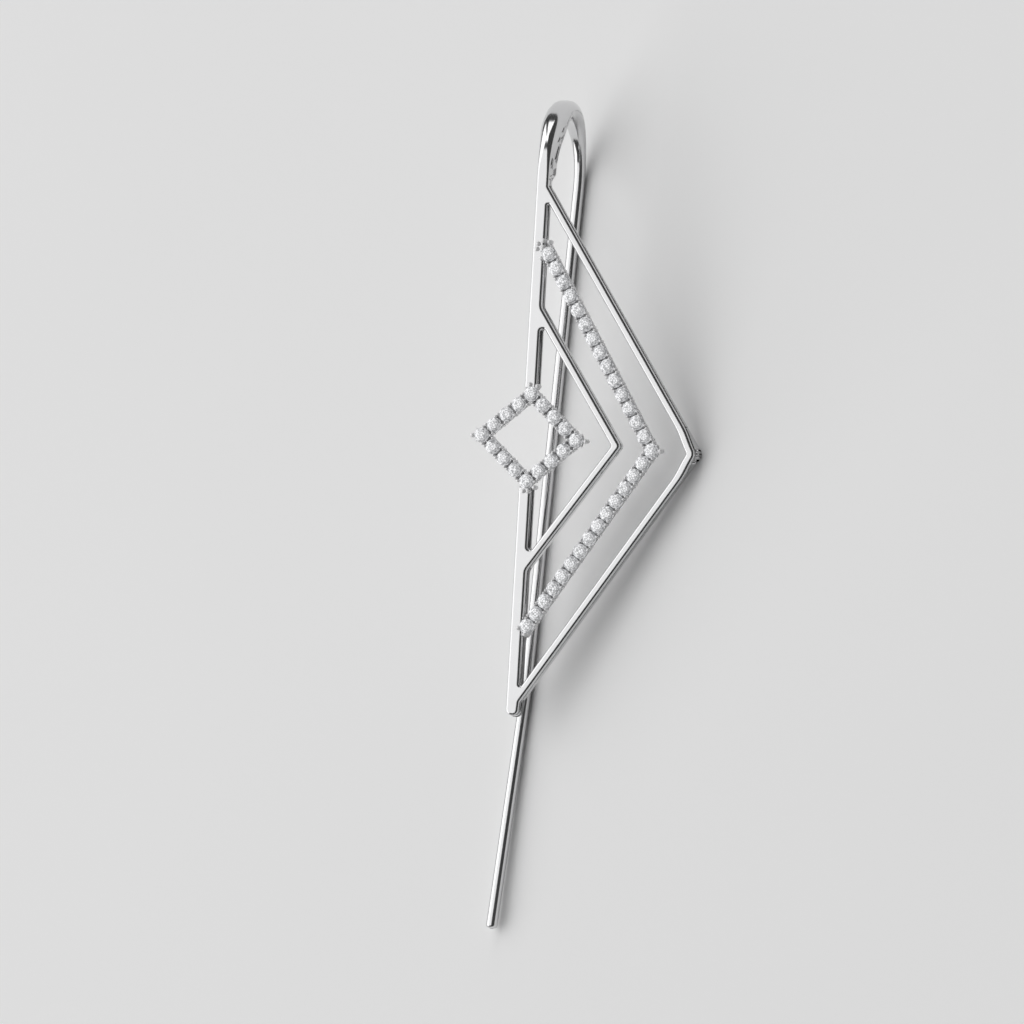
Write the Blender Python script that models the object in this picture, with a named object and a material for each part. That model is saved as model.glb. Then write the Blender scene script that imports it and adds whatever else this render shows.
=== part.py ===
"""Ear cuff: an openwork frame of polished bars with stone-set rows, an ear hook and a long back pin.

The cuff is drawn flat, with +X to its right, +Y up along the spine and +Z out of its front face,
and is then laid down the way it comes to rest on a table, on its back pin and outer corner.
"""

import math
from typing import NamedTuple

import bmesh
import bpy
from mathutils import Matrix, Vector

MM = 0.001
WELD = 0.002 * MM
SHARP_ANGLE = math.radians(30.0)

# Bars of the frame: the front face is flat, and the back slopes so that the bars deepen downwards
SPINE_WIDTH = 1.17 * MM
LEG_WIDTH = 0.78 * MM
DEPTH_AT_TOP = 1.25 * MM
DEPTH_AT_TIP = 1.65 * MM
EDGE_RADIUS = 0.15 * MM
CORNER_RADIUS = 0.22 * MM
CROTCH_RADIUS = 0.22 * MM
MERGE_RADIUS = 0.9 * MM

# The outer chevron leans a little at its corner: the front face is nearer the spine than the back
CORNER_LEAN = 0.35 * MM
LEAN_LENGTH = 2.4 * MM
LEAN_STEPS = 3
LEAN_FROM_X = 12.0 * MM

# Plain chevrons, from the middle of the spine
OUTER_CORNER_X = 15.16 * MM
OUTER_CORNER_Y = -0.57 * MM
OUTER_TOP_Y = 22.28 * MM
OUTER_BOTTOM_Y = -23.4 * MM
OUTER_CORNER_RADIUS = 0.75 * MM
INNER_CORNER_X = 8.0 * MM
INNER_CORNER_Y = -0.25 * MM
INNER_TOP_Y = 11.69 * MM
INNER_BOTTOM_Y = -11.73 * MM
INNER_CORNER_RADIUS = 0.5 * MM

# Rounded nose at the bottom of the spine
NOSE_Y = -24.45 * MM
NOSE_RISE = 1.35 * MM
NOSE_RADIUS = 0.5 * MM

# Ear hook and back pin
HOOK_RADIUS = 6.6 * MM
HOOK_START_Y = 23.2 * MM
HOOK_ROOT = 0.7 * MM
HOOK_WIDTH = 2.05 * MM
HOOK_WIDENS_WITHIN = math.radians(55.0)
HOOK_ROOT_THICKNESS = 2.45 * MM
HOOK_CREST_THICKNESS = 1.65 * MM
HOOK_THINS_FROM = math.radians(30.0)
HOOK_EDGE_RADIUS = 0.7 * MM
PIN_DIAMETER = 1.0 * MM
PIN_TIP_Y = -43.1 * MM
PIN_CONVERGES = math.radians(10.2)
PIN_SET_Y = -22.0 * MM
PIN_SET_ASIDE = math.radians(2.4)
HOOK_STEPS = 12

# Rings of the pin's round tip, as shares of its radius, the last of them closed by a small flat
TIP_SHARES = (0.0, 0.5, 0.85)

# Stones and their settings
STONE_DIAMETER = 1.18 * MM
TABLE_DIAMETER = 0.66 * MM
CROWN_HEIGHT = 0.2 * MM
GIRDLE_Z = 0.14 * MM
CUP_WALL = 0.03 * MM
CUP_DEPTH = 0.75 * MM
CUP_TAPER = 0.85
PRONG_DIAMETER = 0.3 * MM
PRONG_RISE = 0.16 * MM
PRONG_DEPTH = 0.7 * MM
PRONG_OFFSET = 0.5 * MM
END_PRONG_REACH = 0.62 * MM
END_PRONG_OFFSET = 0.3 * MM
BEAD_DIAMETER = 0.4 * MM
BEAD_REACH = 0.74 * MM
RAIL_WIDTH = 0.9 * MM
RAIL_TOP_Z = -0.12 * MM
RAIL_BACK_Z = -1.2 * MM
SEAT_CLEARANCE = 0.05 * MM
FACETS = 8
PRONG_SIDES = 6
SEAT_SIDES = 24

# Stone-set rhombus, centred on the stones' own middle
RHOMBUS_X = 0.15 * MM
RHOMBUS_Y = 0.05 * MM
RHOMBUS_HALF_WIDTH = 4.27 * MM
RHOMBUS_HALF_HEIGHT = 3.83 * MM
RHOMBUS_STONES_PER_SIDE = 4

# Stone-set chevron, from its upper end stone round the corner stone to its lower end stone
ROW_END_X = 0.97 * MM
ROW_TOP_Y = 16.2 * MM
ROW_BOTTOM_Y = -16.45 * MM
ROW_CORNER_X = 11.27 * MM
ROW_CORNER_Y = -0.48 * MM
ROW_STEPS_PER_LEG = 14

STEEL_WHITE = (0.83, 0.83, 0.82, 1.0)
STONE_WHITE = (0.92, 0.93, 0.95, 1.0)


class Chevron(NamedTuple):
    """Centre lines of one plain chevron: its corner, and where its legs meet the spine's middle."""

    corner_x: float
    corner_y: float
    top_y: float
    bottom_y: float
    corner_radius: float


OUTER = Chevron(OUTER_CORNER_X, OUTER_CORNER_Y, OUTER_TOP_Y, OUTER_BOTTOM_Y, OUTER_CORNER_RADIUS)
INNER = Chevron(INNER_CORNER_X, INNER_CORNER_Y, INNER_TOP_Y, INNER_BOTTOM_Y, INNER_CORNER_RADIUS)


class Line(NamedTuple):
    """A straight line in the flat drawing."""

    point: Vector
    direction: Vector

    def moved(self, distance):
        """The same line, moved to its left by a distance."""
        left = Vector((-self.direction.y, self.direction.x))
        return Line(self.point + left * distance, self.direction)

    def meets(self, other):
        """Where this line crosses another."""
        across = self.direction.x * other.direction.y - self.direction.y * other.direction.x
        step = other.point - self.point
        along = (step.x * other.direction.y - step.y * other.direction.x) / across
        return self.point + self.direction * along


def line_through(start, end):
    """The line from one point towards another."""
    start = Vector(start)
    return Line(start, (Vector(end) - start).normalized())


def rounded_loop(corners, steps=4):
    """A closed outline whose corners, each a point and a radius, are turned into arcs."""
    points = []
    for index, (corner, radius) in enumerate(corners):
        before = (corners[index - 1][0] - corner).normalized()
        after = (corners[(index + 1) % len(corners)][0] - corner).normalized()
        half_angle = before.angle(after) / 2
        centre = corner + (before + after).normalized() * (radius / math.sin(half_angle))
        first = corner + before * (radius / math.tan(half_angle)) - centre
        last = corner + after * (radius / math.tan(half_angle)) - centre
        turn = first.angle_signed(last)
        for step in range(steps + 1):
            angle = -turn * step / steps
            arm = Vector((
                first.x * math.cos(angle) - first.y * math.sin(angle),
                first.x * math.sin(angle) + first.y * math.cos(angle),
            ))
            points.append(centre + arm)
    return points


def new_material(name, colour, metallic, roughness):
    """A plain material in the piece's own colour."""
    material = bpy.data.materials.new(name)
    material.use_nodes = True
    shader = material.node_tree.nodes["Principled BSDF"]
    shader.inputs["Base Color"].default_value = colour
    shader.inputs["Metallic"].default_value = metallic
    shader.inputs["Roughness"].default_value = roughness
    return material


def add_object(name, mesh, collection, material=None):
    """An object for a mesh; one without a material is a cutter or a guide."""
    obj = bpy.data.objects.new(name, mesh)
    collection.objects.link(obj)
    if material is None:
        obj.hide_render = True
        obj.display_type = "WIRE"
    else:
        mesh.materials.append(material)
        mesh.shade_smooth()
        mesh.set_sharp_from_angle(angle=SHARP_ANGLE)
    return obj


def plate_mesh(name, loops, back_z, front_z, edge_radius=0.0):
    """A flat plate cut to closed outlines, with its front and back edges rounded."""
    curve = bpy.data.curves.new(name, "CURVE")
    curve.dimensions = "2D"
    curve.fill_mode = "BOTH"
    curve.extrude = (front_z - back_z) / 2 - edge_radius
    curve.bevel_depth = edge_radius
    curve.bevel_resolution = 1
    curve.offset = -edge_radius
    for loop in loops:
        spline = curve.splines.new("POLY")
        spline.points.add(len(loop) - 1)
        for point, place in zip(spline.points, loop):
            point.co = (place.x, place.y, 0.0, 1.0)
        spline.use_cyclic_u = True
    guide = bpy.data.objects.new(name + "_outline", curve)
    bpy.context.scene.collection.objects.link(guide)
    depsgraph = bpy.context.evaluated_depsgraph_get()
    mesh = bpy.data.meshes.new_from_object(guide.evaluated_get(depsgraph))
    bpy.data.objects.remove(guide)
    mesh.name = name
    shape = bmesh.new()
    shape.from_mesh(mesh)
    bmesh.ops.remove_doubles(shape, verts=shape.verts, dist=WELD)
    bmesh.ops.translate(shape, verts=shape.verts, vec=(0.0, 0.0, (front_z + back_z) / 2))
    bmesh.ops.recalc_face_normals(shape, faces=shape.faces)
    shape.to_mesh(mesh)
    shape.free()
    return mesh


def loft(shape, rings):
    """Skin closed rings of equal counts into one capped solid."""
    loops = [[shape.verts.new(place) for place in ring] for ring in rings]
    faces = []
    for lower, upper in zip(loops, loops[1:]):
        for index in range(len(lower)):
            following = (index + 1) % len(lower)
            faces.append(shape.faces.new((lower[index], lower[following], upper[following], upper[index])))
    faces.append(shape.faces.new(list(reversed(loops[0]))))
    faces.append(shape.faces.new(loops[-1]))
    bmesh.ops.recalc_face_normals(shape, faces=faces)


def lofted_mesh(name, ring_sets):
    """One mesh that holds a capped solid for each set of rings."""
    shape = bmesh.new()
    for rings in ring_sets:
        loft(shape, rings)
    mesh = bpy.data.meshes.new(name)
    shape.to_mesh(mesh)
    shape.free()
    return mesh


def polygon_ring(centre, radius, sides, height, phase=0.5):
    """A level regular polygon."""
    return [
        Vector((
            centre.x + radius * math.cos(math.tau * (side + phase) / sides),
            centre.y + radius * math.sin(math.tau * (side + phase) / sides),
            height,
        ))
        for side in range(sides)
    ]


def bar_depth(y):
    """The depth of the frame's bars at a height."""
    share = (HOOK_START_Y - y) / (HOOK_START_Y - NOSE_Y)
    return DEPTH_AT_TOP + (DEPTH_AT_TIP - DEPTH_AT_TOP) * share


def legs(chevron):
    """The centre lines of a chevron's upper and lower legs, both running out to its corner."""
    corner = (chevron.corner_x, chevron.corner_y)
    return line_through((0.0, chevron.top_y), corner), line_through((0.0, chevron.bottom_y), corner)


def spine_break():
    """How far above and below its middle the rhombus's rail leaves room for the spine's ends."""
    clear_edge = band_loop(rhombus_corners(), -(RAIL_WIDTH / 2 + SEAT_CLEARANCE))
    top, left, bottom, right = clear_edge
    sides = ((left, -SPINE_WIDTH / 2), (right, SPINE_WIDTH / 2))
    heights = []
    for corner, side_x in sides:
        side = line_through((side_x, 0.0), (side_x, 1.0))
        heights.append(line_through(corner, top).meets(side).y - RHOMBUS_Y)
    return max(heights)


def frame_loops():
    """The frame's outer outline, and the window between its two chevrons."""
    half_spine = SPINE_WIDTH / 2
    half_leg = LEG_WIDTH / 2
    left = line_through((-half_spine, 0.0), (-half_spine, 1.0))
    right = line_through((half_spine, 0.0), (half_spine, 1.0))
    top = line_through((0.0, HOOK_START_Y), (1.0, HOOK_START_Y))
    nose = line_through((0.0, NOSE_Y), (1.0, NOSE_Y))
    nose_bend = line_through((0.0, NOSE_Y + NOSE_RISE), (1.0, NOSE_Y + NOSE_RISE))
    break_top = line_through((0.0, RHOMBUS_Y + spine_break()), (1.0, RHOMBUS_Y + spine_break()))
    break_bottom = line_through((0.0, RHOMBUS_Y - spine_break()), (1.0, RHOMBUS_Y - spine_break()))
    outer_upper, outer_lower = legs(OUTER)
    inner_upper, inner_lower = legs(INNER)
    outline = [
        (left.meets(top), CORNER_RADIUS),
        (left.meets(break_top), CORNER_RADIUS),
        (right.meets(break_top), CORNER_RADIUS),
        (right.meets(inner_upper.moved(-half_leg)), CROTCH_RADIUS),
        (inner_upper.moved(-half_leg).meets(inner_lower.moved(half_leg)), CORNER_RADIUS),
        (right.meets(inner_lower.moved(half_leg)), CROTCH_RADIUS),
        (right.meets(break_bottom), CORNER_RADIUS),
        (left.meets(break_bottom), CORNER_RADIUS),
        (left.meets(nose), NOSE_RADIUS),
        (right.meets(nose), NOSE_RADIUS),
        (outer_lower.moved(-half_leg).meets(nose_bend), NOSE_RADIUS),
        (outer_upper.moved(half_leg).meets(outer_lower.moved(-half_leg)), OUTER.corner_radius),
        (right.meets(outer_upper.moved(half_leg)), CROTCH_RADIUS),
        (right.meets(top), CORNER_RADIUS),
    ]
    window = [
        (right.meets(outer_upper.moved(-half_leg)), CROTCH_RADIUS),
        (outer_upper.moved(-half_leg).meets(outer_lower.moved(half_leg)), CORNER_RADIUS),
        (right.meets(outer_lower.moved(half_leg)), CROTCH_RADIUS),
        (right.meets(inner_lower.moved(-half_leg)), MERGE_RADIUS),
        (inner_upper.moved(half_leg).meets(inner_lower.moved(-half_leg)), INNER.corner_radius),
        (right.meets(inner_upper.moved(half_leg)), MERGE_RADIUS),
    ]
    return [rounded_loop(outline), rounded_loop(window)]


def bar_ring(centre, outwards, sideways, width, thickness, radius):
    """A section of a bar with rounded edges, square to its run."""
    ring = []
    for quarter in range(4):
        side = 1 if quarter in (0, 3) else -1
        face = 1 if quarter in (0, 1) else -1
        for part in (1, 3, 5):
            angle = math.pi / 2 * (quarter + part / 6)
            across = side * (width / 2 - radius) + radius * math.cos(angle)
            out = face * (thickness / 2 - radius) + radius * math.sin(angle)
            ring.append(centre + sideways * across + outwards * out)
    return ring


def smooth_share(value):
    """Ease a share between 0 and 1."""
    value = min(1.0, max(0.0, value))
    return value * value * (3 - 2 * value)


def hook_section(turned):
    """Width, thickness and edge radius of the hook after turning by an angle from the spine's run."""
    rise = smooth_share(turned / HOOK_WIDENS_WITHIN)
    fall = smooth_share((turned - math.pi / 2) / (math.pi / 2))
    thinned = smooth_share((turned - HOOK_THINS_FROM) / (math.pi / 2 - HOOK_THINS_FROM))
    width = SPINE_WIDTH + (HOOK_WIDTH - SPINE_WIDTH) * rise + (PIN_DIAMETER - HOOK_WIDTH) * fall
    thickness = (
        HOOK_ROOT_THICKNESS
        + (HOOK_CREST_THICKNESS - HOOK_ROOT_THICKNESS) * thinned
        + (PIN_DIAMETER - HOOK_CREST_THICKNESS) * fall
    )
    edge = EDGE_RADIUS + (HOOK_EDGE_RADIUS - EDGE_RADIUS) * rise
    return width, thickness, edge + (PIN_DIAMETER / 2 - HOOK_EDGE_RADIUS) * fall


def hook_and_pin_rings():
    """Sections from the top of the spine, over the ear and down the back pin to its rounded tip."""
    sideways = Vector((1.0, 0.0, 0.0))
    root_y = HOOK_START_Y - HOOK_ROOT
    root = Vector((0.0, root_y, -bar_depth(root_y) / 2))
    rings = [bar_ring(root, Vector((0.0, 0.0, 1.0)), sideways, SPINE_WIDTH, bar_depth(root_y), EDGE_RADIUS)]
    hook_centre = Vector((0.0, HOOK_START_Y, -HOOK_RADIUS))
    whole_turn = math.pi + PIN_CONVERGES
    for step in range(HOOK_STEPS + 1):
        turned = whole_turn * step / HOOK_STEPS
        width, thickness, edge = hook_section(turned)
        outwards = Vector((0.0, math.sin(turned), math.cos(turned)))
        place = hook_centre + outwards * (HOOK_RADIUS - thickness / 2)
        rings.append(bar_ring(place, outwards, sideways, width, thickness, edge))

    # The pin runs straight on from the hook, and is set a little to the left near its end
    pin_radius = PIN_DIAMETER / 2
    run = Vector((0.0, -math.cos(PIN_CONVERGES), math.sin(PIN_CONVERGES)))
    bend = place + run * ((PIN_SET_Y - place.y) / run.y)
    rings.append(bar_ring(bend, outwards, sideways, PIN_DIAMETER, PIN_DIAMETER, pin_radius))
    set_run = Vector((-math.tan(PIN_SET_ASIDE), run.y, run.z)).normalized()
    set_aside = outwards.cross(set_run).normalized()
    if set_aside.x < 0:
        set_aside.negate()
    tip = bend + set_run * ((PIN_TIP_Y - bend.y) / set_run.y)
    for share in TIP_SHARES:
        ring_radius = pin_radius * math.sqrt(1 - share * share)
        place = tip - set_run * (pin_radius * (1 - share))
        size = 2 * ring_radius
        rings.append(bar_ring(place, outwards, set_aside, size, size, ring_radius))
    return rings


def slope_and_lean(mesh):
    """Deepen the plate's back from the hook's end to the nose, and lean the outer corner."""
    shape = bmesh.new()
    shape.from_mesh(mesh)
    for step in range(-LEAN_STEPS, LEAN_STEPS + 1):
        height = OUTER.corner_y + LEAN_LENGTH * step / LEAN_STEPS
        geometry = shape.verts[:] + shape.edges[:] + shape.faces[:]
        bmesh.ops.bisect_plane(shape, geom=geometry, plane_co=(0.0, height, 0.0), plane_no=(0.0, 1.0, 0.0))
    for vertex in shape.verts:
        if vertex.co.z < -DEPTH_AT_TOP / 2:
            vertex.co.z -= bar_depth(vertex.co.y) - DEPTH_AT_TOP
        elif vertex.co.x > LEAN_FROM_X:
            vertex.co.x -= CORNER_LEAN * smooth_share(1 - abs(vertex.co.y - OUTER.corner_y) / LEAN_LENGTH)
    bmesh.ops.triangulate(shape, faces=shape.faces)
    shape.to_mesh(mesh)
    shape.free()


def add_boolean(obj, operand, operation):
    """Join another solid to an object, or cut it away."""
    modifier = obj.modifiers.new(operand.name, "BOOLEAN")
    modifier.operation = operation
    modifier.solver = "EXACT"
    modifier.object = operand


def row_of(start, end, steps):
    """Evenly spaced places from one point to another, both included."""
    return [start.lerp(end, step / steps) for step in range(steps + 1)]


def chevron_stones():
    """Stone places down the stone-set chevron, corner stone included once."""
    corner = Vector((ROW_CORNER_X, ROW_CORNER_Y))
    upper = row_of(Vector((ROW_END_X, ROW_TOP_Y)), corner, ROW_STEPS_PER_LEG)
    lower = row_of(corner, Vector((ROW_END_X, ROW_BOTTOM_Y)), ROW_STEPS_PER_LEG)
    return upper + lower[1:]


def rhombus_corners():
    """The rhombus's corner stones: top, left, bottom and right."""
    centre = Vector((RHOMBUS_X, RHOMBUS_Y))
    return [
        centre + Vector((0.0, RHOMBUS_HALF_HEIGHT)),
        centre + Vector((-RHOMBUS_HALF_WIDTH, 0.0)),
        centre + Vector((0.0, -RHOMBUS_HALF_HEIGHT)),
        centre + Vector((RHOMBUS_HALF_WIDTH, 0.0)),
    ]


def rhombus_stones():
    """Stone places round the rhombus, each once."""
    corners = rhombus_corners()
    stones = []
    for index, corner in enumerate(corners):
        following = corners[(index + 1) % len(corners)]
        stones += row_of(corner, following, RHOMBUS_STONES_PER_SIDE)[:-1]
    return stones


def stone_rings(place):
    """A cup with its stone: the cup's wall, the girdle, the crown and the table."""
    girdle = STONE_DIAMETER / 2
    cup = girdle + CUP_WALL
    return [
        polygon_ring(place, cup * CUP_TAPER, FACETS, GIRDLE_Z - CUP_DEPTH),
        polygon_ring(place, cup, FACETS, GIRDLE_Z),
        polygon_ring(place, TABLE_DIAMETER / 2, FACETS, GIRDLE_Z + CROWN_HEIGHT),
    ]


def prong_rings(place, diameter):
    """A prong or corner bead: a small post with its top edge worn round."""
    radius = diameter / 2
    top = GIRDLE_Z + PRONG_RISE
    return [
        polygon_ring(place, radius, PRONG_SIDES, GIRDLE_Z - PRONG_DEPTH),
        polygon_ring(place, radius, PRONG_SIDES, top - radius / 2),
        polygon_ring(place, radius / 2, PRONG_SIDES, top),
    ]


def side_prongs(stones, closed):
    """Prong places on both sides of the row, between each stone and the next."""
    places = []
    followers = stones[1:] + stones[:1] if closed else stones[1:]
    for stone, following in zip(stones, followers):
        along = (following - stone).normalized()
        across = Vector((-along.y, along.x)) * PRONG_OFFSET
        middle = (stone + following) / 2
        places += [middle + across, middle - across]
    return places


def end_prongs(stone, outwards):
    """The pair of prongs that closes a row beyond its last stone."""
    outwards = outwards.normalized()
    across = Vector((-outwards.y, outwards.x)) * END_PRONG_OFFSET
    reach = outwards * END_PRONG_REACH
    return [stone + reach + across, stone + reach - across]


def band_loop(path, distance):
    """A closed path moved sideways, its corners kept square to both of their legs."""
    lines = [line_through(path[index - 1], path[index]).moved(distance) for index in range(len(path))]
    return [line.meets(following) for line, following in zip(lines, lines[1:] + lines[:1])]


def chevron_rail():
    """The outline of the stone-set chevron's rail, a mitred strip with square ends."""
    half_rail = RAIL_WIDTH / 2
    top = Vector((ROW_END_X, ROW_TOP_Y))
    corner = Vector((ROW_CORNER_X, ROW_CORNER_Y))
    bottom = Vector((ROW_END_X, ROW_BOTTOM_Y))
    upper = line_through(top, corner)
    lower = line_through(bottom, corner)
    seat = line_through((SPINE_WIDTH / 2 + SEAT_CLEARANCE, 0.0), (SPINE_WIDTH / 2 + SEAT_CLEARANCE, 1.0))
    return [[
        upper.moved(half_rail).meets(seat),
        upper.moved(half_rail).meets(lower.moved(-half_rail)),
        lower.moved(-half_rail).meets(seat),
        lower.moved(half_rail).meets(seat),
        upper.moved(-half_rail).meets(lower.moved(half_rail)),
        upper.moved(-half_rail).meets(seat),
    ]]


def rhombus_rail():
    """The outlines of the rhombus's rail, a mitred open square."""
    corners = rhombus_corners()
    return [band_loop(corners, RAIL_WIDTH / 2), band_loop(corners, -RAIL_WIDTH / 2)]


def build_setting(name, stones, prongs, beads, rail, material, parts, cutters):
    """One stone-set piece: rail, cups with stones and prongs fused into one solid."""
    piece = add_object(name, plate_mesh(name, rail, RAIL_BACK_Z, RAIL_TOP_Z), parts, material)
    cups = lofted_mesh(name + "_cups", [stone_rings(place) for place in stones])
    posts = [prong_rings(place, PRONG_DIAMETER) for place in prongs]
    posts += [prong_rings(place, BEAD_DIAMETER) for place in beads]
    posts = lofted_mesh(name + "_prongs", posts)
    add_boolean(piece, add_object(name + "_cups", cups, cutters), "UNION")
    add_boolean(piece, add_object(name + "_prongs", posts, cutters), "UNION")
    return piece


def seat_prism(shape, stone, prongs, floor_z):
    """A cutter round an end stone and its prongs, down to the seat's floor."""
    cup_seat = STONE_DIAMETER / 2 + CUP_WALL + SEAT_CLEARANCE
    prong_seat = PRONG_DIAMETER / 2 + SEAT_CLEARANCE
    places = []
    for height in (floor_z, DEPTH_AT_TIP):
        places += polygon_ring(stone, cup_seat, SEAT_SIDES, height)
        for prong in prongs:
            places += polygon_ring(prong, prong_seat, SEAT_SIDES, height)
    corners = [shape.verts.new(place) for place in places]
    hull = bmesh.ops.convex_hull(shape, input=corners)
    spare = [item for item in hull["geom_interior"] if isinstance(item, bmesh.types.BMVert)]
    bmesh.ops.delete(shape, geom=spare, context="VERTS")


def seats_mesh(name, seats, floor_z):
    """One mesh that holds the cutters for a set of end stones and their prongs."""
    shape = bmesh.new()
    for stone, prongs in seats:
        seat_prism(shape, stone, prongs, floor_z)
    mesh = bpy.data.meshes.new(name)
    shape.to_mesh(mesh)
    shape.free()
    return mesh


def build_frame(row_seats, rhombus_seats, material, parts, cutters):
    """The plain metal: bars, hook and pin in one solid, with seats for the settings' ends."""
    plate = plate_mesh("cuff_frame", frame_loops(), -DEPTH_AT_TOP, 0.0, EDGE_RADIUS)
    slope_and_lean(plate)
    frame = add_object("cuff_frame", plate, parts, material)
    hook = lofted_mesh("hook_and_pin", [hook_and_pin_rings()])
    add_boolean(frame, add_object("hook_and_pin", hook, cutters), "UNION")
    pocket_z = GIRDLE_Z - CUP_DEPTH - SEAT_CLEARANCE
    pockets = seats_mesh("row_seats", row_seats, pocket_z)
    breaks = seats_mesh("rhombus_seats", rhombus_seats, -DEPTH_AT_TIP * 2)
    add_boolean(frame, add_object("row_seats", pockets, cutters), "DIFFERENCE")
    add_boolean(frame, add_object("rhombus_seats", breaks, cutters), "DIFFERENCE")
    return frame


def rest_matrix(pieces):
    """How the cuff lies by itself, front up: the hull face under its centre of mass goes on the floor."""
    depsgraph = bpy.context.evaluated_depsgraph_get()
    hull = bmesh.new()
    volume = 0.0
    moment = Vector()
    for piece in pieces:
        mesh = piece.evaluated_get(depsgraph).to_mesh()
        mesh.calc_loop_triangles()
        for triangle in mesh.loop_triangles:
            a, b, c = (mesh.vertices[index].co for index in triangle.vertices)
            part = a.dot(b.cross(c)) / 6
            volume += part
            moment += (a + b + c) * (part / 4)
        hull.from_mesh(mesh)
    centre = moment / volume
    outer = bmesh.ops.convex_hull(hull, input=hull.verts, use_existing_faces=False)["geom"]
    best_up = None
    for face in (item for item in outer if isinstance(item, bmesh.types.BMFace)):
        face.normal_update()
        up = -face.normal
        inside = all(
            (loop.link_loop_next.vert.co - loop.vert.co).cross(centre - loop.vert.co).dot(face.normal) >= 0
            for loop in face.loops
        )
        if inside and (best_up is None or up.z > best_up.z):
            best_up = up
    hull.free()
    along = (Vector((0.0, 1.0, 0.0)) - best_up * best_up.y).normalized()
    turn = Matrix((along.cross(best_up), along, best_up))
    low = Vector((math.inf,) * 3)
    high = Vector((-math.inf,) * 3)
    for piece in pieces:
        for vertex in piece.evaluated_get(depsgraph).to_mesh().vertices:
            place = turn @ vertex.co
            low = Vector(map(min, low, place))
            high = Vector(map(max, high, place))
    shift = Vector((-(low.x + high.x) / 2, -(low.y + high.y) / 2, -low.z))
    return Matrix.Translation(shift) @ turn.to_4x4()


def main():
    """Build the cuff and lay it down."""
    for obj in list(bpy.data.objects):
        bpy.data.objects.remove(obj)
    parts = bpy.data.collections.new("ear_cuff")
    cutters = bpy.data.collections.new("ear_cuff_cutters")
    for collection in (parts, cutters):
        bpy.context.scene.collection.children.link(collection)
    metal = new_material("polished_metal", STEEL_WHITE, 1.0, 0.12)
    pave = new_material("pave_stones", STONE_WHITE, 0.0, 0.05)

    row = chevron_stones()
    top_prongs = end_prongs(row[0], row[0] - row[1])
    bottom_prongs = end_prongs(row[-1], row[-1] - row[-2])
    row_prongs = side_prongs(row, closed=False) + top_prongs + bottom_prongs
    row_beads = [row[ROW_STEPS_PER_LEG] + Vector((BEAD_REACH, 0.0))]
    chevron = build_setting("pave_chevron", row, row_prongs, row_beads, chevron_rail(), pave, parts, cutters)

    ring = rhombus_stones()
    top, left, bottom, right = rhombus_corners()
    middle = Vector((RHOMBUS_X, RHOMBUS_Y))
    upper_beads = end_prongs(top, top - middle)
    lower_beads = end_prongs(bottom, bottom - middle)
    side_beads = [corner + (corner - middle).normalized() * BEAD_REACH for corner in (left, right)]
    ring_prongs = side_prongs(ring, closed=True) + upper_beads + lower_beads
    rhombus = build_setting(
        "pave_rhombus", ring, ring_prongs, side_beads, rhombus_rail(), pave, parts, cutters
    )

    row_seats = [(row[0], top_prongs), (row[-1], bottom_prongs)]
    rhombus_seats = [(top, upper_beads), (bottom, lower_beads)]
    frame = build_frame(row_seats, rhombus_seats, metal, parts, cutters)

    bpy.context.view_layer.update()
    table = bpy.data.objects.new("as_it_rests", None)
    table.matrix_world = rest_matrix([frame, chevron, rhombus])
    parts.objects.link(table)
    for obj in list(parts.objects) + list(cutters.objects):
        if obj is not table:
            obj.parent = table
    bpy.context.view_layer.update()


main()
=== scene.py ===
"""An ear cuff, finished: polished bars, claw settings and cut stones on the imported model's frame.

The cuff is drawn flat, with +X to its right, +Y up along the spine and +Z out of its front face.
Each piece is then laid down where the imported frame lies.
"""

import math
import random
from typing import NamedTuple

import bmesh
import bpy
from bpy.props import FloatProperty, FloatVectorProperty, IntProperty, PointerProperty
from mathutils import Matrix, Vector


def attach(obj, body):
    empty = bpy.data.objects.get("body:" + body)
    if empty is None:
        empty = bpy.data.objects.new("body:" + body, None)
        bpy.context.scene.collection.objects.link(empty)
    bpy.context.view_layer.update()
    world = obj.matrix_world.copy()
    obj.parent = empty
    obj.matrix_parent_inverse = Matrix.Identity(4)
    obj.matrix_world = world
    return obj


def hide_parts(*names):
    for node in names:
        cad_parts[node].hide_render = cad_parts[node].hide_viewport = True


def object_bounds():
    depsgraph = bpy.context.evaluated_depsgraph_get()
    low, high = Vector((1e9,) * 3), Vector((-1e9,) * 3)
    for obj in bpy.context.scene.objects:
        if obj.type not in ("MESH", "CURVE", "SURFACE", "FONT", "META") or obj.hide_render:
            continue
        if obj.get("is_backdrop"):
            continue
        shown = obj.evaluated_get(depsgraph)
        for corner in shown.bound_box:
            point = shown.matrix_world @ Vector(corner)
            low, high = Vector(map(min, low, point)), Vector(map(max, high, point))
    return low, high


bl_info = {
    "name": "Ear cuff",
    "version": (1, 0, 0),
    "blender": (4, 5, 0),
    "location": "3D View > Sidebar > Ear Cuff",
    "description": "Builds a stone-set ear cuff with its settings, stones and studio",
    "category": "Object",
}

MM = 0.001
WELD = 0.001 * MM
CAD_EDGE_ROUND = 0.15 * MM
BOX_SLACK = 0.6 * MM

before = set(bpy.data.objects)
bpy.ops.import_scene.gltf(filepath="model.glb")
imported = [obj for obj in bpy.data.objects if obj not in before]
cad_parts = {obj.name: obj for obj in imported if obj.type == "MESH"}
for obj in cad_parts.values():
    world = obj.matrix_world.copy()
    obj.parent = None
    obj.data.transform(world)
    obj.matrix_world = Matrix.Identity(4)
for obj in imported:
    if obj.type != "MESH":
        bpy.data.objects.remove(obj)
cad_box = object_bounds()


def length(name, description, millimetres):
    """A size that a user may change, given in millimetres."""
    return FloatProperty(
        name=name, description=description, default=millimetres * MM, unit="LENGTH", subtype="DISTANCE"
    )


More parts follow.
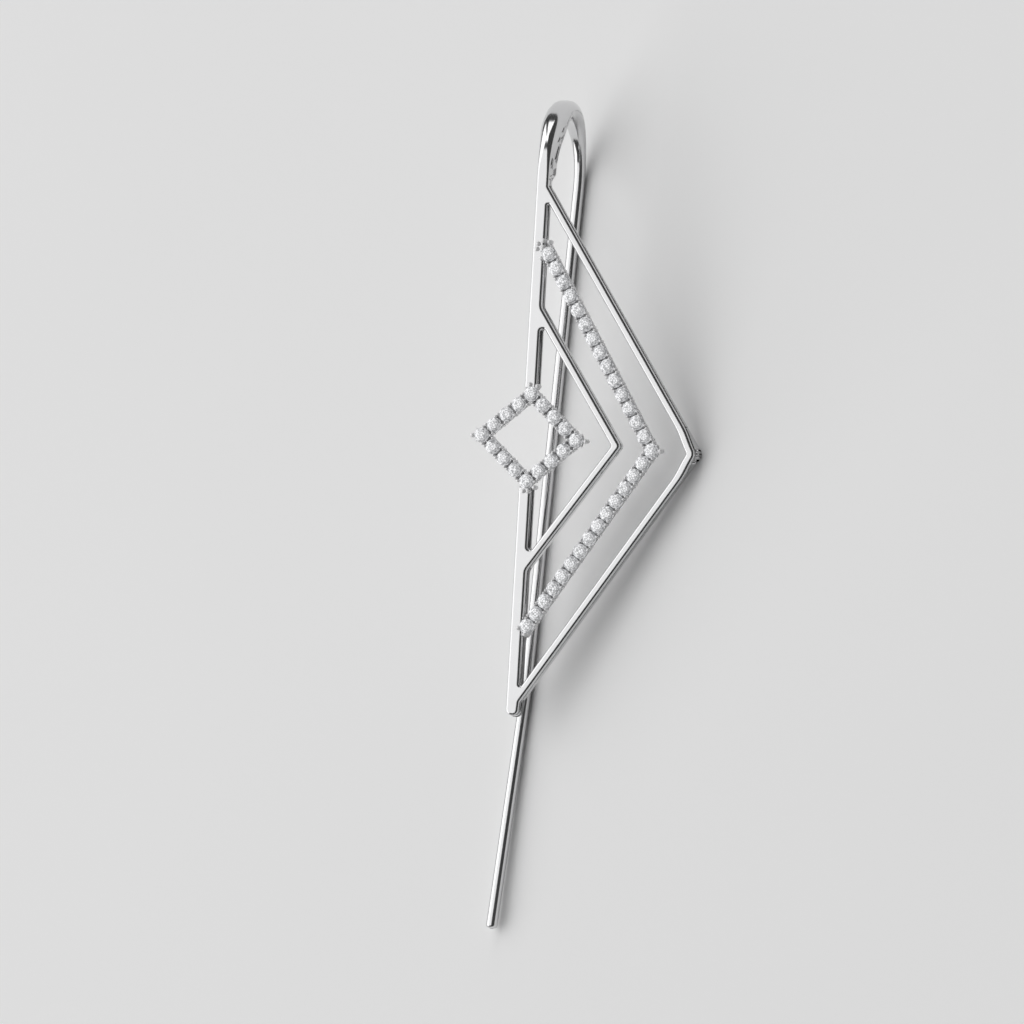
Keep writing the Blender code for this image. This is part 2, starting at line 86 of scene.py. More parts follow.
def turn(name, description, degrees):
    """An angle that a user may change, given in degrees."""
    return FloatProperty(
        name=name, description=description, default=math.radians(degrees), unit="ROTATION", subtype="ANGLE"
    )


def tint(name, description, colour):
    """A colour that a user may change."""
    return FloatVectorProperty(
        name=name, description=description, default=colour, size=3, min=0.0, max=1.0, subtype="COLOR"
    )


class CuffBars(bpy.types.PropertyGroup):
    """Sizes of the flat bars: the spine and the two plain chevrons."""

    spine_width: length("Spine width", "Width of the spine bar", 1.17)
    leg_width: length("Leg width", "Width of the chevrons' legs", 0.78)
    depth_at_top: length("Depth at top", "Depth of the bars where the hook starts", 1.25)
    depth_at_tip: length("Depth at tip", "Depth of the bars at the nose", 1.65)
    edge_round: length("Edge round", "Width of the polished edges", 0.19)
    ledge: length("Ledge", "Fine ledge along the bars' walls", 0.03)
    corner_round: length("Corner round", "Radius of the outline's small corners", 0.23)
    end_round: length("End round", "Radius of the spine's ends at the rhombus", 0.37)
    crotch_round: length("Crotch round", "Radius where a leg meets the spine from outside", 0.22)
    slit_round: length("Slit round", "Radius at the sharp ends of the window", 0.07)
    merge_round: length("Merge round", "Radius where an inner leg flows into the spine", 0.9)
    outer_corner_x: length("Outer corner reach", "Outer chevron's corner, from the spine's middle", 15.16)
    outer_corner_y: length("Outer corner height", "Height of the outer chevron's corner", -0.57)
    outer_top_y: length("Outer top", "Where the outer upper leg meets the spine", 22.28)
    outer_bottom_y: length("Outer bottom", "Where the outer lower leg meets the spine", -23.4)
    outer_corner_round: length("Outer corner round", "Radius of the outer chevron's corner", 0.75)
    inner_corner_x: length("Inner corner reach", "Inner chevron's corner, from the spine's middle", 8.0)
    inner_corner_y: length("Inner corner height", "Height of the inner chevron's corner", -0.25)
    inner_top_y: length("Inner top", "Where the inner upper leg meets the spine", 11.69)
    inner_bottom_y: length("Inner bottom", "Where the inner lower leg meets the spine", -11.73)
    inner_corner_round: length("Inner corner round", "Radius of the inner chevron's corner", 0.5)
    corner_lean: length("Corner lean", "How far the outer corner's front leans to the spine", 0.35)
    lean_length: length("Lean length", "How far above and below the corner the lean dies away", 2.4)
    nose_y: length("Nose height", "Lowest point of the spine", -24.45)
    nose_rise: length("Nose rise", "Height of the nose under the outer lower leg", 1.35)
    nose_round: length("Nose round", "Radius of the nose's corners", 0.53)
    nose_lean: length("Nose lean", "How far the nose's front is drawn up from its back", 0.12)
    break_clearance: length("Break clearance", "Gap between the spine's ends and the rhombus", 0.05)


class CuffHook(bpy.types.PropertyGroup):
    """Sizes of the ear hook and of the back pin."""

    start_y: length("Hook start", "Height where the spine starts to bend back", 23.3)
    root: length("Hook root", "Length of spine over which the hook deepens", 0.75)
    radius: length("Hook radius", "Outer radius of the bend over the ear", 6.6)
    width: length("Hook width", "Width of the hook at its crest", 2.05)
    root_thickness: length("Root thickness", "Thickness of the hook at its root", 2.45)
    crest_thickness: length("Crest thickness", "Thickness of the hook at its crest", 1.65)
    widens_within: turn("Widens within", "Turn over which the hook gets wider", 55.0)
    thins_from: turn("Thins from", "Turn after which the hook gets thinner", 30.0)
    edge_round: length("Hook edge round", "Radius of the hook's edges at its crest", 0.8)
    rounds_within: turn("Rounds within", "Turn over which the hook's edges become round", 38.0)
    pin_diameter: length("Pin diameter", "Diameter of the back pin", 1.0)
    pin_tip_y: length("Pin tip", "Height of the pin's tip", -43.1)
    pin_converges: turn("Pin converges", "Angle between the pin and the spine", 10.2)
    pin_set_y: length("Pin set height", "Height where the pin is set to the left", -22.0)
    pin_set_aside: turn("Pin set aside", "Angle by which the pin's end is set to the left", 2.4)


class CuffStones(bpy.types.PropertyGroup):
    """Sizes and places of the stones and their claw settings."""

    diameter: length("Stone diameter", "Diameter at the girdle", 1.33)
    table: length("Table diameter", "Diameter of the flat top facet", 0.68)
    crown: length("Crown height", "From girdle to table", 0.19)
    pavilion: length("Pavilion depth", "From girdle to the stone's point", 0.5)
    girdle_z: length("Girdle height", "Height of the girdle over the bars' front", 0.14)
    cup_wall: length("Cup wall", "Thickness of the cup's wall", 0.05)
    cup_depth: length("Cup depth", "Depth of the cup under the girdle", 0.75)
    claw_diameter: length("Claw diameter", "Diameter of a claw", 0.25)
    claw_rise: length("Claw rise", "Height of the claws over the girdle", 0.16)
    claw_offset: length("Claw offset", "From the row's middle line to a claw", 0.5)
    claw_spread: length("Claw spread", "Half the gap between two neighbouring claws", 0.15)
    gallery_wire: length("Gallery wire", "Diameter of the loop that hangs under each stone", 0.13)
    gallery_depth: length("Gallery depth", "How far the loop hangs under the girdle", 0.72)
    bead_diameter: length("Bead diameter", "Diameter of the beads at the rows' ends", 0.42)
    rail_width: length("Rail width", "Width of the rail under the stones", 0.9)
    rail_top_z: length("Rail top", "Height of the rail's top", -0.55)
    rail_back_z: length("Rail back", "Height of the rail's back", -1.2)
    rail_round: length("Rail round", "Radius of the rail's corners", 0.14)
    row_end_x: length("Row end", "Row's end stones, from the spine's middle", 0.97)
    row_top_y: length("Row top", "Height of the upper end stone", 16.2)
    row_bottom_y: length("Row bottom", "Height of the lower end stone", -16.45)
    row_corner_x: length("Row corner reach", "Row's corner stone, from the spine's middle", 11.27)
    row_corner_y: length("Row corner height", "Height of the row's corner stone", -0.48)
    row_steps: IntProperty(name="Stones per leg", description="Steps along one leg of the row", default=14)
    rhombus_x: length("Rhombus shift", "Rhombus's middle, from the spine's middle", 0.15)
    rhombus_y: length("Rhombus height", "Height of the rhombus's middle", 0.05)
    rhombus_half_width: length("Rhombus half width", "Middle to its left and right stones", 4.27)
    rhombus_half_height: length("Rhombus half height", "Middle to its top and bottom stones", 3.83)
    rhombus_steps: IntProperty(name="Stones per side", description="Steps along a rhombus side", default=4)


class CuffFinish(bpy.types.PropertyGroup):
    """Colours of the metal, the stones and the floor."""

    metal: tint("Metal", "Polished white metal", (0.71, 0.71, 0.715))
    metal_worn: tint("Worn metal", "Metal where handling has dulled it", (0.64, 0.64, 0.65))
    claw_metal: tint("Claw metal", "Bright metal of the claws and beads", (0.92, 0.92, 0.925))
    # Darker metal, mixed into every setting piece in random patches
    darker_setting_metal: tint("Cup metal", "Metal dulled down in the settings", (0.72, 0.72, 0.73))
    # Stone and stone shade are the painted lit and painted dark facets of the stones
    stone: tint("Stone", "Bright facets", (0.96, 0.965, 0.98))
    stone_shade: tint("Stone shade", "Dark facets", (0.16, 0.165, 0.175))
    floor: tint("Floor", "Pale studio floor", (0.88, 0.88, 0.88))


class CuffStudio(bpy.types.PropertyGroup):
    """The photograph's camera."""

    camera_turn: turn("Camera turn", "Camera's turn to the cuff's right", 14.8)
    camera_roll: turn("Camera roll", "Roll of the picture", 3.36)
    camera_distance: length("Camera distance", "From the camera to the cuff", 1500.0)
    picture_width: length("Picture width", "What the picture spans at the cuff", 89.7)
    aim_right: length("Aim right", "Picture's middle, right of the rhombus's middle", -1.501)
    aim_up: length("Aim up", "Picture's middle, above the rhombus's middle", -6.456)


class Line(NamedTuple):
    """A straight line in the flat drawing."""

    point: Vector
    direction: Vector

    def moved(self, distance):
        """The same line, moved to its left by a distance."""
        left = Vector((-self.direction.y, self.direction.x))
        return Line(self.point + left * distance, self.direction)

    def meets(self, other):
        """Where this line crosses another."""
        across = self.direction.x * other.direction.y - self.direction.y * other.direction.x
        step = other.point - self.point
        along = (step.x * other.direction.y - step.y * other.direction.x) / across
        return self.point + self.direction * along


def line_through(start, end):
    """The line from one point towards another."""
    start = Vector(start)
    return Line(start, (Vector(end) - start).normalized())


def level_line(height):
    """A level line of the flat drawing."""
    return line_through((0.0, height), (1.0, height))


def upright_line(place):
    """An upright line of the flat drawing."""
    return line_through((place, 0.0), (place, 1.0))


ARC_STEPS = 7
LEAD = 0.05 * MM


def rounded_loop(corners):
    """A closed outline whose corners, each a point and a radius, are turned into arcs with short leads."""
    points = []
    for index, (corner, radius) in enumerate(corners):
        before = (corners[index - 1][0] - corner).normalized()
        after = (corners[(index + 1) % len(corners)][0] - corner).normalized()
        half_angle = before.angle(after) / 2
        centre = corner + (before + after).normalized() * (radius / math.sin(half_angle))
        first = corner + before * (radius / math.tan(half_angle)) - centre
        last = corner + after * (radius / math.tan(half_angle)) - centre
        swept = first.angle_signed(last)
        points.append(centre + first + before * LEAD)
        for step in range(ARC_STEPS + 1):
            arm = first.copy()
            arm.rotate(Matrix.Rotation(-swept * step / ARC_STEPS, 2))
            points.append(centre + arm)
        points.append(centre + last + after * LEAD)
    return points


def smooth_share(value):
    """Ease a share between 0 and 1."""
    value = min(1.0, max(0.0, value))
    return value * value * (3 - 2 * value)


def mix(start, end, share):
    """The value a share of the way from one to another."""
    return start + (end - start) * share


def bars_lie():
    """Where the flat drawing lies in the world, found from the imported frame's front face."""
    bars = bpy.context.scene.cuff_bars
    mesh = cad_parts["cuff_frame"].data
    areas = {}
    for face in mesh.polygons:
        if face.normal.z > 0:
            side = tuple(round(part, 3) for part in face.normal)
            areas[side] = areas.get(side, 0.0) + face.area
    front_side = max(areas, key=areas.get)
    front = Vector()
    corners = set()
    for face in mesh.polygons:
        if tuple(round(part, 3) for part in face.normal) == front_side:
            front += face.normal * face.area
            corners.update(face.vertices)
    front.normalize()
    along = Vector((0.0, front.z, -front.y)).normalized()
    across = along.cross(front)
    places = [mesh.vertices[index].co for index in corners]
    edge = min(place.dot(across) for place in places)
    foot = min(place.dot(along) for place in places)
    height = max(place.dot(front) for place in places)
    origin = across * (edge + bars.spine_width / 2 - CAD_EDGE_ROUND)
    origin += along * (foot - bars.nose_y - CAD_EDGE_ROUND) + front * height
    axes = Matrix((across, along, front)).transposed()
    return Matrix.Translation(origin) @ axes.to_4x4()


def bar_depth(y):
    """The depth of the bars at a height of the flat drawing."""
    bars = bpy.context.scene.cuff_bars
    top = bpy.context.scene.cuff_hook.start_y
    return mix(bars.depth_at_top, bars.depth_at_tip, (top - y) / (top - bars.nose_y))


FLAT_ANGLE = math.radians(0.5)


def fill_outlines(shape, loops, height):
    """As few faces as will fill closed outlines, windows left open."""
    rims = []
    for loop in loops:
        corners = [shape.verts.new((place.x, place.y, height)) for place in loop]
        rims += [shape.edges.new(pair) for pair in zip(corners, corners[1:] + corners[:1])]
    bmesh.ops.triangle_fill(shape, edges=rims, use_beauty=True, use_dissolve=False)
    inner = [edge for edge in shape.edges if not edge.is_boundary]
    bmesh.ops.dissolve_limit(shape, angle_limit=FLAT_ANGLE, verts=[], edges=inner)
    return shape.faces[:]


def of_kind(geometry, kind):
    """The vertices, edges or faces in a mixed list."""
    return [item for item in geometry if isinstance(item, kind)]


def raise_region(shape, faces, height):
    """Extrude a region of faces straight up, and return its new top."""
    made = bmesh.ops.extrude_face_region(shape, geom=faces)["geom"]
    bmesh.ops.translate(shape, verts=of_kind(made, bmesh.types.BMVert), vec=(0.0, 0.0, height))
    return of_kind(made, bmesh.types.BMFace)


def round_over(shape, faces, profile):
    """Step a face's rim inwards and outwards along a profile of running widths and rises."""
    done_width = 0.0
    done_rise = 0.0
    for width, rise in profile:
        bmesh.ops.inset_region(
            shape, faces=faces, thickness=width - done_width, depth=rise - done_rise,
            use_boundary=True, use_even_offset=True,
        )
        done_width, done_rise = width, rise


LEDGE_HEIGHT = 0.55

# A softened edge from the wall to the face, as steps of tilt in degrees and length
HOLD = 0.02 * MM
BAR_EDGE = (
    (78.0, 0.03), (60.0, 0.05), (43.0, 0.05), (33.0, 0.05), (26.0, 0.05), (17.0, 0.04), (7.0, 0.05), (3.0, 0.05)
)
RAIL_EDGE = ((67.0, 0.03), (45.0, 0.03), (23.0, 0.03))


def edge_profile(steps):
    """Running widths and rises of a softened edge, with a short hold at its end."""
    width = 0.0
    rise = 0.0
    profile = []
    for tilt, run in steps:
        width += run * MM * math.cos(math.radians(tilt))
        rise += run * MM * math.sin(math.radians(tilt))
        profile.append((width, rise))
    profile.append((width + HOLD, rise))
    return profile


def plate(shape, loops, back_z, front_z, edge, ledge=0.0):
    """A flat plate with softened edges between two heights, and a fine ledge part of the way up its wall."""
    profile = edge_profile(edge)
    front_wall = front_z - profile[-1][1]
    back_wall = back_z + profile[-1][1]
    back = fill_outlines(shape, loops, back_wall)
    front = raise_region(shape, back, HOLD)
    if ledge:
        rise = (front_wall - back_wall) * LEDGE_HEIGHT - HOLD
        front = raise_region(shape, front, rise - HOLD)
        front = raise_region(shape, front, HOLD)
        bmesh.ops.recalc_face_normals(shape, faces=shape.faces)
        for width in (ledge, 0.0):
            bmesh.ops.inset_region(
                shape, faces=front, thickness=width, depth=HOLD, use_boundary=True, use_even_offset=True
            )
        front = raise_region(shape, front, front_wall - back_wall - rise - 4 * HOLD)
    else:
        front = raise_region(shape, front, front_wall - back_wall - 2 * HOLD)
    front = raise_region(shape, front, HOLD)
    bmesh.ops.recalc_face_normals(shape, faces=shape.faces)
    round_over(shape, back, profile)
    round_over(shape, front, profile)


def laid_object(name, shape, material, smooth_angle=None):
    """Lay a drawn shape where the cuff lies, and make it a piece that rides with the frame."""
    bmesh.ops.transform(shape, matrix=bars_lie(), verts=shape.verts)
    mesh = bpy.data.meshes.new(name)
    shape.to_mesh(mesh)
    shape.free()
    mesh.materials.append(material)
    if smooth_angle is None:
        mesh.shade_flat()
    else:
        mesh.shade_smooth()
        mesh.set_sharp_from_angle(angle=smooth_angle)
    piece = bpy.data.objects.new(name, mesh)
    bpy.context.scene.collection.objects.link(piece)
    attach(piece, "root")
    return piece


def legs(corner_x, corner_y, top_y, bottom_y):
    """The centre lines of a chevron's upper and lower legs, both running out to its corner."""
    corner = (corner_x, corner_y)
    return line_through((0.0, top_y), corner), line_through((0.0, bottom_y), corner)


def band_loop(path, distance):
    """A closed path moved sideways, its corners kept square to both of their legs."""
    lines = [line_through(path[index - 1], path[index]).moved(distance) for index in range(len(path))]
    return [line.meets(following) for line, following in zip(lines, lines[1:] + lines[:1])]


def rhombus_corners():
    """The rhombus's corner stones: top, left, bottom and right."""
    stones = bpy.context.scene.cuff_stones
    centre = Vector((stones.rhombus_x, stones.rhombus_y))
    return [
        centre + Vector((0.0, stones.rhombus_half_height)),
        centre + Vector((-stones.rhombus_half_width, 0.0)),
        centre + Vector((0.0, -stones.rhombus_half_height)),
        centre + Vector((stones.rhombus_half_width, 0.0)),
    ]


def spine_break():
    """How far above and below the rhombus's middle the spine stops short of its rail."""
    bars = bpy.context.scene.cuff_bars
    stones = bpy.context.scene.cuff_stones
    edge = band_loop(rhombus_corners(), -(stones.rail_width / 2 + bars.break_clearance))
    top, left, bottom, right = edge
    half_spine = bars.spine_width / 2
    sides = ((left, -half_spine), (right, half_spine))
    return max(line_through(corner, top).meets(upright_line(x)).y for corner, x in sides) - stones.rhombus_y


def frame_outlines():
    """The bars' outer outline, and the window between the two plain chevrons."""
    bars = bpy.context.scene.cuff_bars
    stones = bpy.context.scene.cuff_stones
    left = upright_line(-bars.spine_width / 2)
    right = upright_line(bars.spine_width / 2)
    top = level_line(bpy.context.scene.cuff_hook.start_y)
    nose = level_line(bars.nose_y)
    nose_bend = level_line(bars.nose_y + bars.nose_rise)
    break_top = level_line(stones.rhombus_y + spine_break())
    break_bottom = level_line(stones.rhombus_y - spine_break())
    half = bars.leg_width / 2
    outer_upper, outer_lower = legs(
        bars.outer_corner_x, bars.outer_corner_y, bars.outer_top_y, bars.outer_bottom_y
    )
    inner_upper, inner_lower = legs(
        bars.inner_corner_x, bars.inner_corner_y, bars.inner_top_y, bars.inner_bottom_y
    )
    outline = [
        (left.meets(top), bars.corner_round),
        (left.meets(break_top), bars.end_round),
        (right.meets(break_top), bars.end_round),
        (right.meets(inner_upper.moved(-half)), bars.crotch_round),
        (inner_upper.moved(-half).meets(inner_lower.moved(half)), bars.corner_round),
        (right.meets(inner_lower.moved(half)), bars.crotch_round),
        (right.meets(break_bottom), bars.end_round),
        (left.meets(break_bottom), bars.end_round),
        (left.meets(nose), bars.nose_round),
        (right.meets(nose), bars.nose_round),
        (outer_lower.moved(-half).meets(nose_bend), bars.nose_round),
        (outer_upper.moved(half).meets(outer_lower.moved(-half)), bars.outer_corner_round),
        (right.meets(outer_upper.moved(half)), bars.crotch_round),
        (right.meets(top), bars.corner_round),
    ]
    window = [
        (right.meets(outer_upper.moved(-half)), bars.slit_round),
        (outer_upper.moved(-half).meets(outer_lower.moved(half)), bars.corner_round),
        (right.meets(outer_lower.moved(half)), bars.slit_round),
        (right.meets(inner_lower.moved(-half)), bars.merge_round),
        (inner_upper.moved(half).meets(inner_lower.moved(-half)), bars.inner_corner_round),
        (right.meets(inner_upper.moved(half)), bars.merge_round),
    ]
    return [rounded_loop(outline), rounded_loop(window)]


LEAN_STEPS = 8


def slope_and_lean(shape):
    """Deepen the plate's back from the hook to the nose, and lean the outer corner and the nose."""
    bars = bpy.context.scene.cuff_bars
    for step in range(-LEAN_STEPS, LEAN_STEPS + 1):
        height = bars.outer_corner_y + bars.lean_length * step / LEAN_STEPS
        everything = shape.verts[:] + shape.edges[:] + shape.faces[:]
        bmesh.ops.bisect_plane(shape, geom=everything, plane_co=(0, height, 0), plane_no=(0, 1, 0))
    reach = (bars.inner_corner_x + bars.outer_corner_x) / 2
    for vertex in shape.verts:
        if vertex.co.z < -bars.depth_at_top / 2:
            vertex.co.z -= bar_depth(vertex.co.y) - bars.depth_at_top
        elif vertex.co.x > reach:
            near = 1 - abs(vertex.co.y - bars.outer_corner_y) / bars.lean_length
            vertex.co.x -= bars.corner_lean * smooth_share(near)
        else:
            low = (bars.nose_y + bars.nose_rise - vertex.co.y) / bars.nose_rise
            vertex.co.y += bars.nose_lean * smooth_share(low)


class Section(NamedTuple):
    """A bar's section: where its middle is, its two directions, its sizes and how round it is."""

    centre: Vector
    outwards: Vector
    sideways: Vector
    width: float
    thickness: float
    radius: float
    roundness: float


class RimPlace(NamedTuple):
    """A rim point as shares of its section: where on the core, and the arm out to the surface."""

    core_x: float
    core_out: float
    arm: Vector


def rim_place(vertex, section):
    """Read a rim point of the cut spine as shares of the spine's section."""
    offset = vertex.co - section.centre
    x = offset.dot(section.sideways)
    out = offset.dot(section.outwards)
    half_x = section.width / 2 - section.radius
    half_out = section.thickness / 2 - section.radius
    core_x = min(half_x, max(-half_x, x))
    core_out = min(half_out, max(-half_out, out))
    arm = Vector(((x - core_x) / section.radius, (out - core_out) / section.radius))
    return RimPlace(core_x / half_x, core_out / half_out, arm)


def placed_on(section, place):
    """Where a rim point goes on another section."""
    arm = place.arm.lerp(place.arm.normalized(), section.roundness) * section.radius
    x = place.core_x * (section.width / 2 - section.radius) + arm.x
    out = place.core_out * (section.thickness / 2 - section.radius) + arm.y
    return section.centre + section.sideways * x + section.outwards * out


def draw_out(shape, rim, section):
    """Extrude an open rim to the next section of the run."""
    edges = [edge for edge in shape.edges if edge.is_boundary]
    made = bmesh.ops.extrude_edge_only(shape, edges=edges)["geom"]
    following = {}
    for vertex in of_kind(made, bmesh.types.BMVert):
        source = next(edge.other_vert(vertex) for edge in vertex.link_edges if edge.other_vert(vertex) in rim)
        following[vertex] = rim[source]
    for vertex, place in following.items():
        vertex.co = placed_on(section, place)
    return following


HOOK_STEPS = 52
ROOT_STEPS = 7
PIN_CORE = 0.06
TIP_STEPS = 6
TIP_FLAT = 0.94
TIP_LENGTH = 0.6


def hook_section(turned):
    """The hook's section after turning by an angle from the spine's run."""
    bars = bpy.context.scene.cuff_bars
    hook = bpy.context.scene.cuff_hook
    rise = smooth_share(turned / hook.widens_within)
    fall = smooth_share((turned - math.pi / 2) / (math.pi / 2))
    thinned = smooth_share((turned - hook.thins_from) / (math.pi / 2 - hook.thins_from))
    pin_round = hook.pin_diameter / 2 * (1 - PIN_CORE)
    width = mix(mix(bars.spine_width, hook.width, rise), hook.pin_diameter, fall)
    thickness = mix(mix(hook.root_thickness, hook.crest_thickness, thinned), hook.pin_diameter, fall)
    rounded = smooth_share(turned / hook.rounds_within)
    radius = mix(mix(bars.edge_round, hook.edge_round, rounded), pin_round, fall)
    outwards = Vector((0.0, math.sin(turned), math.cos(turned)))
    centre = Vector((0.0, hook.start_y, -hook.radius)) + outwards * (hook.radius - thickness / 2)
    return Section(centre, outwards, Vector((1.0, 0.0, 0.0)), width, thickness, radius, rounded)


def spine_section(y, share):
    """The spine's section near the hook's root, where it deepens."""
    bars = bpy.context.scene.cuff_bars
    hook = bpy.context.scene.cuff_hook
    thickness = mix(bar_depth(y), hook.root_thickness, smooth_share(share))
    centre = Vector((0.0, y, -thickness / 2))
    outwards = Vector((0.0, 0.0, 1.0))
    return Section(
        centre, outwards, Vector((1.0, 0.0, 0.0)), bars.spine_width, thickness, bars.edge_round, 0.0
    )


def hook_and_pin_sections():
    """Sections from the spine's cut end, over the ear and down the back pin to its rounded tip."""
    hook = bpy.context.scene.cuff_hook
    sections = []
    for step in range(1, ROOT_STEPS):
        share = step / ROOT_STEPS
        sections.append(spine_section(hook.start_y - hook.root * (1 - share), share))
    whole_turn = math.pi + hook.pin_converges
    sections += [hook_section(whole_turn * step / HOOK_STEPS) for step in range(HOOK_STEPS + 1)]
    last = sections[-1]

    # The pin runs straight on from the hook, and is set a little to the left near its end
    run = Vector((0.0, -math.cos(hook.pin_converges), math.sin(hook.pin_converges)))
    bend = last.centre + run * ((hook.pin_set_y - last.centre.y) / run.y)
    set_run = Vector((-math.tan(hook.pin_set_aside), run.y, run.z)).normalized()
    set_sideways = set_run.cross(last.outwards).normalized()
    if set_sideways.x < 0:
        set_sideways.negate()
    soft = hook.pin_diameter
    for place, sideways in (
        (last.centre + run * soft, last.sideways),
        (bend - run * soft, last.sideways),
        (bend, (last.sideways + set_sideways).normalized()),
        (bend + set_run * soft, set_sideways),
    ):
        sections.append(last._replace(centre=place, sideways=sideways))
    tip = bend + set_run * ((hook.pin_tip_y - bend.y) / set_run.y)
    tip_length = hook.pin_diameter / 2 * TIP_LENGTH
    for step in range(TIP_STEPS + 1):
        share = math.sin(math.pi / 2 * step / TIP_STEPS) * TIP_FLAT
        narrowed = math.sqrt(1 - share * share)
        place = tip - set_run * tip_length * (1 - share)
        size = hook.pin_diameter * narrowed
        sections.append(last._replace(
            centre=place, sideways=set_sideways, width=size, thickness=size, radius=last.radius * narrowed
        ))
    return sections


def draw_hook_and_pin(shape):
    """Cut the spine's top off, and draw its open end over the ear and down the back."""
    hook = bpy.context.scene.cuff_hook
    root_y = hook.start_y - hook.root
    everything = shape.verts[:] + shape.edges[:] + shape.faces[:]
    cut = bmesh.ops.bisect_plane(
        shape, geom=everything, plane_co=(0.0, root_y, 0.0), plane_no=(0.0, 1.0, 0.0), clear_outer=True
    )
    root = spine_section(root_y, 0.0)
    rim = {vertex: rim_place(vertex, root) for vertex in of_kind(cut["geom_cut"], bmesh.types.BMVert)}
    for section in hook_and_pin_sections():
        rim = draw_out(shape, rim, section)
    bmesh.ops.holes_fill(shape, edges=[edge for edge in shape.edges if edge.is_boundary], sides=0)


def pattern_mesh(shape):
    """Keep a drawn shape as a pattern that can be stamped many times."""
    mesh = bpy.data.meshes.new("pattern")
    shape.to_mesh(mesh)
    shape.free()
    return mesh


def stamp(shape, pattern, place):
    """Add a copy of a pattern to a shape, at a place."""
    known = len(shape.verts)
    shape.from_mesh(pattern)
    shape.verts.ensure_lookup_table()
    bmesh.ops.transform(shape, matrix=place, verts=shape.verts[known:])


def spun(profile, sides):
    """Spin a profile of radii and heights into a closed round shape."""
    shape = bmesh.new()
    corners = [shape.verts.new((radius, 0.0, height)) for radius, height in profile]
    edges = [shape.edges.new(pair) for pair in zip(corners, corners[1:])]
    bmesh.ops.spin(
        shape, geom=corners + edges, cent=(0.0, 0.0, 0.0), axis=(0.0, 0.0, 1.0),
        angle=math.tau, steps=sides, use_merge=True,
    )
    bmesh.ops.remove_doubles(shape, verts=shape.verts, dist=WELD)
    bmesh.ops.recalc_face_normals(shape, faces=shape.faces)
    return shape


CLAW_SIDES = 8
CUP_SIDES = 16
CUP_TAPER = 0.8
GALLERY_SIDES = 6
GALLERY_STEPS = 10


def claw_pattern(diameter):
    """A claw: a post with a domed top."""
    stones = bpy.context.scene.cuff_stones
    radius = diameter / 2
    top = stones.girdle_z + stones.claw_rise
    foot = stones.girdle_z - stones.cup_depth
    profile = [(0.0, foot), (radius, foot), (radius, top - radius)]
    for step in (1, 2, 3):
        angle = math.pi / 2 * step / 4
        profile.append((radius * math.cos(angle), top - radius + radius * math.sin(angle)))
    return pattern_mesh(spun(profile + [(0.0, top)], CLAW_SIDES))


def cup_pattern():
    """A cup: a thin tapering wall that is open above and below."""
    stones = bpy.context.scene.cuff_stones
    outer = stones.diameter / 2 - stones.cup_wall / 2
    inner = outer - stones.cup_wall
    rim = stones.girdle_z - stones.cup_wall
    foot = stones.girdle_z - stones.cup_depth
    profile = [
        (inner, rim), (outer, rim), (outer * CUP_TAPER, foot), (inner * CUP_TAPER, foot), (inner, rim)
    ]
    return pattern_mesh(spun(profile, CUP_SIDES))


def gallery_pattern(span):
    """A loop of wire that hangs from one claw to the next, in the plane across +Y."""
    stones = bpy.context.scene.cuff_stones
    shape = bmesh.new()
    turned_up = Matrix.Translation((span / 2, 0.0, 0.0))
    ring = bmesh.ops.create_circle(
        shape, cap_ends=False, segments=GALLERY_SIDES, radius=stones.gallery_wire / 2, matrix=turned_up
    )["verts"]
    edges = list({edge for vertex in ring for edge in vertex.link_edges})
    bmesh.ops.spin(
        shape, geom=ring + edges, cent=(0.0, 0.0, 0.0), axis=(0.0, 1.0, 0.0),
        angle=math.pi, steps=GALLERY_STEPS,
    )
    bmesh.ops.holes_fill(shape, edges=[edge for edge in shape.edges if edge.is_boundary], sides=0)
    bmesh.ops.recalc_face_normals(shape, faces=shape.faces)
    deepest = min(vertex.co.z for vertex in shape.verts)
    squash = Matrix.Diagonal((1.0, 1.0, -stones.gallery_depth / deepest, 1.0))
    bmesh.ops.transform(shape, matrix=squash, verts=shape.verts)
    bmesh.ops.translate(shape, verts=shape.verts, vec=(0.0, 0.0, stones.girdle_z))
    return pattern_mesh(shape)


TABLE_SIDES = 8
STAR_RADIUS = 0.8
STAR_RISE = 0.58
GIRDLE_BAND = 0.03
PAVILION_RADIUS = 0.5
PAVILION_DROP = 0.56
INNER_TABLE = 0.46
CROWN_FACES = 0.3
# Strength of the stones' painted glow, light they give off though they are no lamp
PAINTED_GLOW = 0.25
FACET_SEAM = 0.018 * MM
# Painted shade of the seams between the crown facets
PAINTED_SEAM_SHADE = 0.2
PAINTED_GLINT = "painted_glint"


